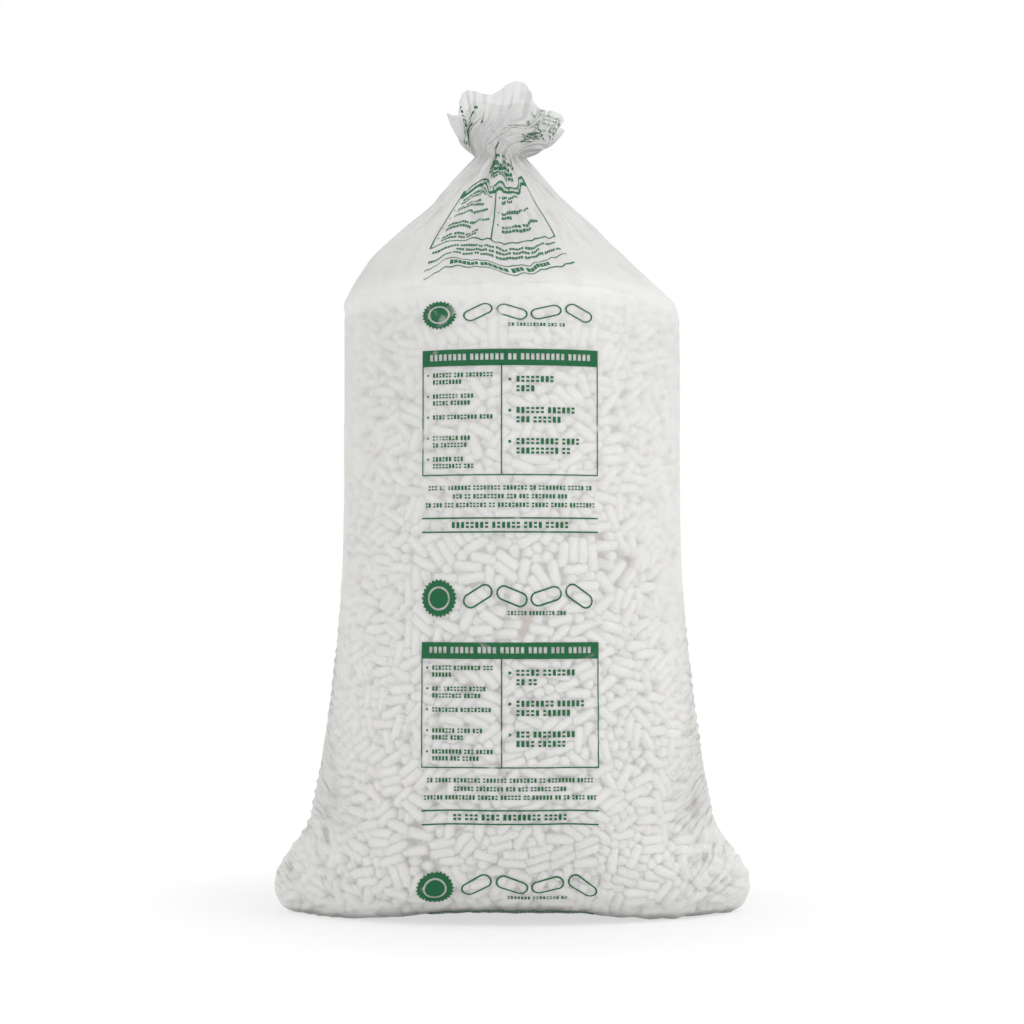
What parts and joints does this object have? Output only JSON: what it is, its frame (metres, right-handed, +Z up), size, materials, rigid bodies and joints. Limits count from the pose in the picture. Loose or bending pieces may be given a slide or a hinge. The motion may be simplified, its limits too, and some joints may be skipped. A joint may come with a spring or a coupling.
{
  "type": "packing peanut bag",
  "caption": "Tall clear film bag of white starch loose fill, sealed flat across the bottom, with its neck gathered and knotted into a ruffled tuft.",
  "frame": {"origin": "on the ground under the middle of the bag", "axes": "+Z up, -Y out of the printed front, +X to the right as seen from the front"},
  "size_m": [0.916, 0.651, 1.5879],
  "materials": {
    "clear_film": "hazy translucent blown film, thin and crinkled",
    "starch_foam": "matt white expanded starch foam"
  },
  "bodies": {
    "root": {"film_bag": "clear_film", "loose_fill": "starch_foam", "peanut_01": "starch_foam", "peanut_02": "starch_foam", "peanut_03": "starch_foam", "peanut_04": "starch_foam", "peanut_05": "starch_foam", "peanut_06": "starch_foam", "peanut_07": "starch_foam", "peanut_08": "starch_foam", "peanut_09": "starch_foam", "peanut_10": "starch_foam", "peanut_11": "starch_foam", "peanut_12": "starch_foam", "peanut_13": "starch_foam", "peanut_14": "starch_foam", "peanut_15": "starch_foam", "peanut_16": "starch_foam", "peanut_17": "starch_foam", "peanut_18": "starch_foam", "peanut_19": "starch_foam", "peanut_20": "starch_foam", "peanut_21": "starch_foam", "peanut_22": "starch_foam", "peanut_23": "starch_foam", "peanut_24": "starch_foam", "peanut_25": "starch_foam", "peanut_26": "starch_foam", "peanut_27": "starch_foam", "peanut_28": "starch_foam", "peanut_29": "starch_foam", "peanut_30": "starch_foam", "peanut_31": "starch_foam", "peanut_32": "starch_foam", "peanut_33": "starch_foam", "peanut_34": "starch_foam", "peanut_35": "starch_foam", "peanut_36": "starch_foam", "peanut_37": "starch_foam", "peanut_38": "starch_foam", "peanut_39": "starch_foam", "peanut_40": "starch_foam"}
  },
  "joints": []
}
